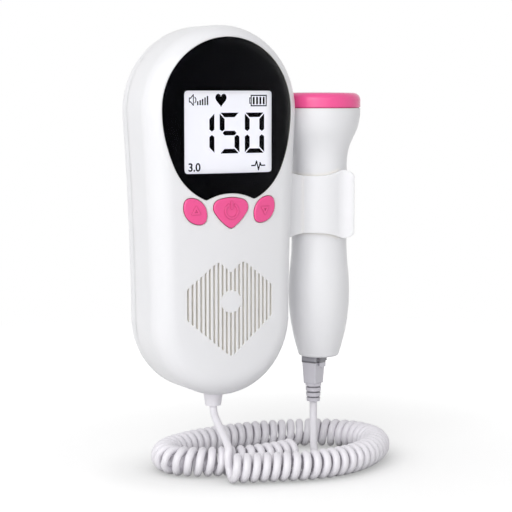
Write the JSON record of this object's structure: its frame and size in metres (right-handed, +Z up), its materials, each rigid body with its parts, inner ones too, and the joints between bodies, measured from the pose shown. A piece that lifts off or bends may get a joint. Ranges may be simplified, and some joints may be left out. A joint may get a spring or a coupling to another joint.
{
  "type": "fetal doppler monitor",
  "caption": "Hand-held fetal doppler with a display, keys, a heart-shaped grille, a side clip that holds its plug-in probe, and a curly cord.",
  "frame": {"origin": "centre of the flat back, half-way up the display unit", "axes": "+X towards the probe, +Y out of the back, +Z up towards the earphone socket"},
  "size_m": [0.1025, 0.0672, 0.1645],
  "materials": {
    "white_shell": "satin-gloss moulded ABS",
    "pink_plastic": "glossy moulded ABS",
    "sensing_face": "smooth matching layer",
    "clear_window": "clear acrylic, polished",
    "window_black": "black printed film",
    "display_glass": "liquid-crystal glass with polarisers",
    "light_guide": "milky light guide",
    "black_plastic": "fine matt",
    "plunger_plastic": "fine matt",
    "board": "solder mask on glass fibre",
    "steel_screw": "zinc plated",
    "spring_steel": "nickel plated",
    "speaker_steel": "zinc plated pressing",
    "speaker_paper": "black paper cone",
    "foam": "closed-cell foam",
    "battery_wrap": "shrink sleeve",
    "ceramic": "silvered ceramic discs",
    "epoxy": "cast epoxy",
    "grey_plug": "translucent grey polycarbonate",
    "socket_plastic": "fine matt",
    "gold_contact": "gold flash",
    "cord_sleeve": "smooth soft vinyl"
  },
  "bodies": {
    "root": {"front_shell": "white_shell", "rear_shell": "white_shell", "display_window": "clear_window", "window_mask": "window_black", "lcd_panel": "display_glass", "backlight": "light_guide", "lcd_frame": "black_plastic", "main_board": "board", "board_chips": "black_plastic", "board_screws": "steel_screw", "tact_switches": "black_plastic", "speaker_gasket": "foam", "speaker_frame": "speaker_steel", "speaker_cone": "speaker_paper", "speaker_magnet": "speaker_steel", "battery_left": "battery_wrap", "battery_right": "battery_wrap", "battery_springs": "spring_steel", "battery_plates": "spring_steel", "headphone_jack": "black_plastic", "case_screws": "steel_screw", "probe_clip": "white_shell", "clip_screws": "steel_screw", "cord_relief": "cord_sleeve", "cord_tail_unit": "cord_sleeve", "curly_cord": "cord_sleeve", "cord_tail_probe": "cord_sleeve"},
    "power_key": {"power_button": "pink_plastic", "power_plunger": "plunger_plastic"},
    "up_key": {"up_button": "pink_plastic", "up_plunger": "plunger_plastic"},
    "down_key": {"down_button": "pink_plastic", "down_plunger": "plunger_plastic"},
    "cover": {"battery_cover": "white_shell"},
    "plug": {"plug_housing": "grey_plug", "plug_contacts": "gold_contact", "plug_boot": "cord_sleeve"},
    "latch": {"plug_latch": "grey_plug"},
    "probe": {"probe_shell": "white_shell", "probe_ring": "pink_plastic", "probe_face": "sensing_face", "transducer_discs": "ceramic", "probe_backing": "epoxy", "probe_board": "board", "probe_socket": "socket_plastic", "probe_pins": "gold_contact"}
  },
  "joints": [
    {"name": "power_press", "type": "slide", "parent": "root", "child": "power_key", "axis": [0, 1, 0], "range_m": [0, 0.0008], "stiffness_N_per_m": 1500},
    {"name": "up_press", "type": "slide", "parent": "root", "child": "up_key", "axis": [0, 1, 0], "range_m": [0, 0.0008], "stiffness_N_per_m": 1500},
    {"name": "down_press", "type": "slide", "parent": "root", "child": "down_key", "axis": [0, 1, 0], "range_m": [0, 0.0008], "stiffness_N_per_m": 1500},
    {"name": "cover_lift", "type": "slide", "parent": "root", "child": "cover", "axis": [0, 1, 0], "range_m": [0, 0.02]},
    {"name": "probe_release", "type": "slide", "parent": "root", "child": "plug", "axis": [1, 0, 0], "range_m": [0, 0.06]},
    {"name": "probe_unplug", "type": "slide", "parent": "plug", "child": "probe", "axis": [0, 0, 1], "range_m": [0, 0.0076]},
    {"name": "latch_press", "type": "hinge", "parent": "plug", "child": "latch", "pos_m": [0.04733, -0.01617, -0.05975], "axis": [0.8949, 0.4462, 0], "range_deg": [0, 6], "stiffness_Nm_per_rad": 0.05}
  ]
}
